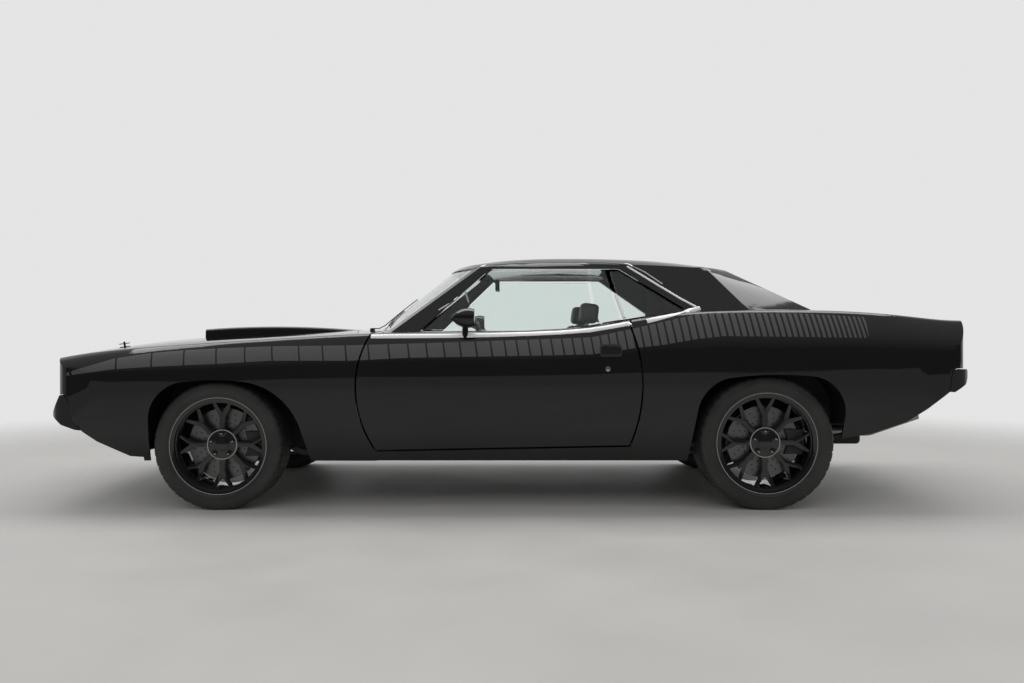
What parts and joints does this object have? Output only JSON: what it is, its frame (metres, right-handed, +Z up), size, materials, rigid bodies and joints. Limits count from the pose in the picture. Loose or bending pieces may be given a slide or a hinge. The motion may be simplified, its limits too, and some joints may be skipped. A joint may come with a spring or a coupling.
{
  "type": "two-door hardtop muscle coupe",
  "caption": "Low two-door hardtop coupe with a hood scoop, deep-dish wheels, opening doors, hood and trunk lid, steering and free-turning wheels.",
  "frame": {"origin": "on the ground, on the centreline, midway between the front and rear bumper faces", "axes": "+X to the tail, +Y to the car's right side, +Z up"},
  "size_m": [4.7414, 1.9088, 1.3039],
  "materials": {
    "brushed_steel": "satin",
    "cast_iron": "satin",
    "chassis_black": "satin",
    "glass": "gloss",
    "lamp_clear": "gloss",
    "lamp_red": "gloss",
    "leather": "satin",
    "matte_plastic": "satin",
    "painted_metal": "gloss",
    "tyre": "satin",
    "wheel_black": "gloss"
  },
  "bodies": {
    "body": {"console": "matte_plastic", "cowl_panel": "painted_metal", "dashboard": "matte_plastic", "engine": "cast_iron", "exhaust": "brushed_steel", "floor_pan": "chassis_black", "front_bumper": "painted_metal", "front_fender_left": "painted_metal", "front_fender_right": "painted_metal", "front_frame": "chassis_black", "front_seats": "leather", "front_suspension": "chassis_black", "front_valance": "chassis_black", "fuel_tank": "chassis_black", "grille": "matte_plastic", "grille_surround": "matte_plastic", "headlamps": "lamp_clear", "inner_fenders": "chassis_black", "quarter_glass": "glass", "quarter_panel_left": "painted_metal", "quarter_panel_right": "painted_metal", "rear_axle": "chassis_black", "rear_bumper": "painted_metal", "rear_seat": "leather", "rear_shelf": "painted_metal", "rear_valance": "chassis_black", "rear_window": "glass", "rockers": "painted_metal", "roof": "painted_metal", "steering_wheel": "matte_plastic", "tail_lamps": "lamp_red", "tail_panel": "painted_metal", "windscreen": "glass"},
    "knuckle_left": {"knuckle_left": "brushed_steel"},
    "knuckle_right": {"knuckle_right": "brushed_steel"},
    "hood": {"hood": "painted_metal"},
    "deck_lid": {"deck_lid": "painted_metal"},
    "door_left": {"door_left": "painted_metal", "door_glass_left": "glass", "mirror_left": "painted_metal"},
    "wheel_front_left": {"wheel_front_left": "wheel_black", "tyre_front_left": "tyre", "brake_disc_front_left": "brushed_steel"},
    "wheel_rear_left": {"wheel_rear_left": "wheel_black", "tyre_rear_left": "tyre", "brake_disc_rear_left": "brushed_steel"},
    "door_right": {"door_right": "painted_metal", "door_glass_right": "glass", "mirror_right": "painted_metal"},
    "wheel_front_right": {"wheel_front_right": "wheel_black", "tyre_front_right": "tyre", "brake_disc_front_right": "brushed_steel"},
    "wheel_rear_right": {"wheel_rear_right": "wheel_black", "tyre_rear_right": "tyre", "brake_disc_rear_right": "brushed_steel"}
  },
  "joints": [
    {"name": "steering_left", "type": "hinge", "parent": "body", "child": "knuckle_left", "pos_m": [-1.45475, -0.7, 0.32], "axis": [0, 0, 1], "range_deg": [-32, 32]},
    {"name": "steering_right", "type": "hinge", "parent": "body", "child": "knuckle_right", "pos_m": [-1.45475, 0.7, 0.32], "axis": [0, 0, 1], "range_deg": [-32, 32]},
    {"name": "wheel_front_left", "type": "hinge", "parent": "knuckle_left", "child": "wheel_front_left", "pos_m": [-1.45475, -0.793, 0.32], "axis": [0, 1, 0], "continuous": true},
    {"name": "wheel_front_right", "type": "hinge", "parent": "knuckle_right", "child": "wheel_front_right", "pos_m": [-1.45475, 0.793, 0.32], "axis": [0, 1, 0], "continuous": true},
    {"name": "wheel_rear_left", "type": "hinge", "parent": "body", "child": "wheel_rear_left", "pos_m": [1.28825, -0.793, 0.334], "axis": [0, 1, 0], "continuous": true},
    {"name": "wheel_rear_right", "type": "hinge", "parent": "body", "child": "wheel_rear_right", "pos_m": [1.28825, 0.793, 0.334], "axis": [0, 1, 0], "continuous": true},
    {"name": "door_left", "type": "hinge", "parent": "body", "child": "door_left", "pos_m": [-0.70725, -0.93, 0.6], "axis": [0, 0, -1], "range_deg": [0, 66]},
    {"name": "door_right", "type": "hinge", "parent": "body", "child": "door_right", "pos_m": [-0.70725, 0.93, 0.6], "axis": [0, 0, 1], "range_deg": [0, 66]},
    {"name": "hood", "type": "hinge", "parent": "body", "child": "hood", "pos_m": [-0.86275, 0, 0.904], "axis": [0, 1, 0], "range_deg": [0, 52]},
    {"name": "deck_lid", "type": "hinge", "parent": "body", "child": "deck_lid", "pos_m": [1.67425, 0, 1.016], "axis": [0, -1, 0], "range_deg": [0, 55]}
  ],
  "couplings": [
    {"joint": "steering_right", "follows": "steering_left", "ratio": 1}
  ]
}
